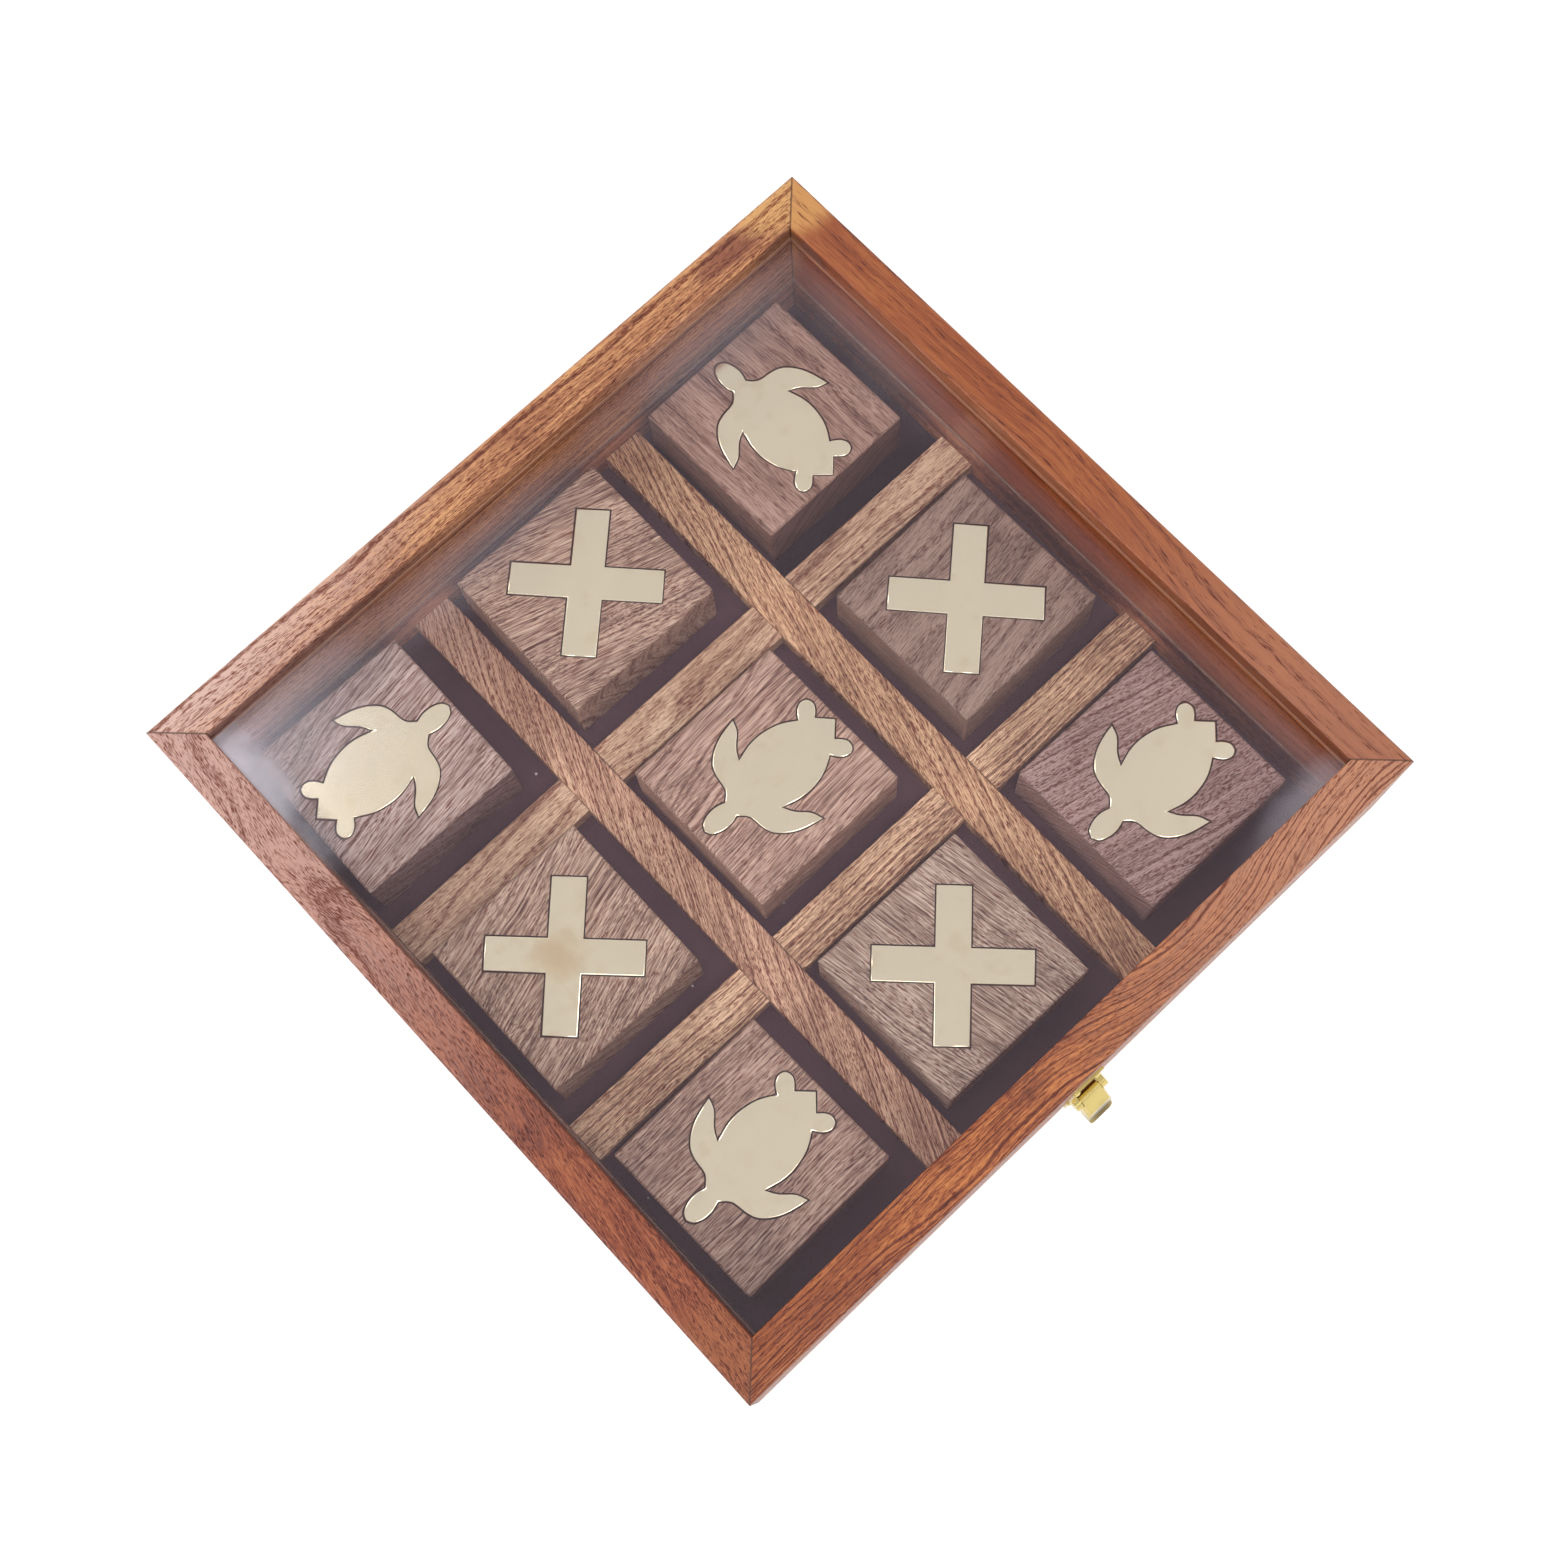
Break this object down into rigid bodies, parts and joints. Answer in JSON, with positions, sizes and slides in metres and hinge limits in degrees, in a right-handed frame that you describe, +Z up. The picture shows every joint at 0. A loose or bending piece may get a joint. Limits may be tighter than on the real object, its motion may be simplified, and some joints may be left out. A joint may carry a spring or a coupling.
{
  "type": "tic-tac-toe board",
  "caption": "Square hinged wooden case with a glass lid and a brass hasp, holding loose wooden blocks with brass turtles and crosses between crossed divider strips.",
  "frame": {"origin": "middle of the case's underside", "axes": "+Z up; -Y towards the front, where the hasp is; +Y towards the hinges; +X to the right seen from the front"},
  "size_m": [0.203, 0.2136, 0.0445],
  "materials": {
    "lid_wood": "oiled satin",
    "tray_wood": "oiled satin",
    "base_wood": "plain sanded",
    "divider_wood": "sanded satin",
    "block_wood": "sanded matte",
    "lining": "flocked matte",
    "glass": "clear polished",
    "inlay_brass": "pale, hand rubbed",
    "hinge_brass": "plain rolled",
    "latch_brass": "bright pressed"
  },
  "bodies": {
    "tray": {"tray_front_wall": "tray_wood", "tray_right_wall": "tray_wood", "tray_back_wall": "tray_wood", "tray_left_wall": "tray_wood", "base_board": "base_wood", "floor_lining": "lining", "divider_left": "divider_wood", "divider_right": "divider_wood", "divider_front": "divider_wood", "divider_back": "divider_wood", "hinge_left_tray_leaf": "hinge_brass", "hinge_right_tray_leaf": "hinge_brass", "hinge_left_pin": "hinge_brass", "hinge_right_pin": "hinge_brass", "hinge_tray_screws": "hinge_brass", "latch_keeper": "latch_brass", "latch_keeper_nails": "latch_brass"},
    "lid": {"lid_front_rail": "lid_wood", "lid_right_rail": "lid_wood", "lid_back_rail": "lid_wood", "lid_left_rail": "lid_wood", "glass_panel": "glass", "hinge_left_lid_leaf": "hinge_brass", "hinge_right_lid_leaf": "hinge_brass", "hinge_lid_screws": "hinge_brass", "latch_plate": "latch_brass", "latch_plate_nails": "latch_brass", "latch_pin": "latch_brass"},
    "hasp": {"latch_hasp": "latch_brass"},
    "piece_front_left": {"block_front_left": "block_wood", "turtle_front_left": "inlay_brass"},
    "piece_front_middle": {"block_front_middle": "block_wood", "cross_front_middle": "inlay_brass"},
    "piece_front_right": {"block_front_right": "block_wood", "turtle_front_right": "inlay_brass"},
    "piece_middle_left": {"block_middle_left": "block_wood", "cross_middle_left": "inlay_brass"},
    "piece_centre": {"block_centre": "block_wood", "turtle_centre": "inlay_brass"},
    "piece_middle_right": {"block_middle_right": "block_wood", "cross_middle_right": "inlay_brass"},
    "piece_back_left": {"block_back_left": "block_wood", "turtle_back_left": "inlay_brass"},
    "piece_back_middle": {"block_back_middle": "block_wood", "cross_back_middle": "inlay_brass"},
    "piece_back_right": {"block_back_right": "block_wood", "turtle_back_right": "inlay_brass"}
  },
  "joints": [
    {"name": "lid_hinge", "type": "hinge", "parent": "tray", "child": "lid", "pos_m": [0, 0.1031, 0.017], "axis": [-1, 0, 0], "range_deg": [0, 120]},
    {"name": "hasp_hinge", "type": "hinge", "parent": "lid", "child": "hasp", "pos_m": [0, -0.1036, 0.0218], "axis": [-1, 0, 0], "range_deg": [0, 120]},
    {"name": "lift_front_left", "type": "slide", "parent": "tray", "child": "piece_front_left", "axis": [0, 0, 1], "range_m": [0, 0.012]},
    {"name": "lift_front_middle", "type": "slide", "parent": "tray", "child": "piece_front_middle", "axis": [0, 0, 1], "range_m": [0, 0.012]},
    {"name": "lift_front_right", "type": "slide", "parent": "tray", "child": "piece_front_right", "axis": [0, 0, 1], "range_m": [0, 0.012]},
    {"name": "lift_middle_left", "type": "slide", "parent": "tray", "child": "piece_middle_left", "axis": [0, 0, 1], "range_m": [0, 0.012]},
    {"name": "lift_centre", "type": "slide", "parent": "tray", "child": "piece_centre", "axis": [0, 0, 1], "range_m": [0, 0.012]},
    {"name": "lift_middle_right", "type": "slide", "parent": "tray", "child": "piece_middle_right", "axis": [0, 0, 1], "range_m": [0, 0.012]},
    {"name": "lift_back_left", "type": "slide", "parent": "tray", "child": "piece_back_left", "axis": [0, 0, 1], "range_m": [0, 0.012]},
    {"name": "lift_back_middle", "type": "slide", "parent": "tray", "child": "piece_back_middle", "axis": [0, 0, 1], "range_m": [0, 0.012]},
    {"name": "lift_back_right", "type": "slide", "parent": "tray", "child": "piece_back_right", "axis": [0, 0, 1], "range_m": [0, 0.012]}
  ]
}
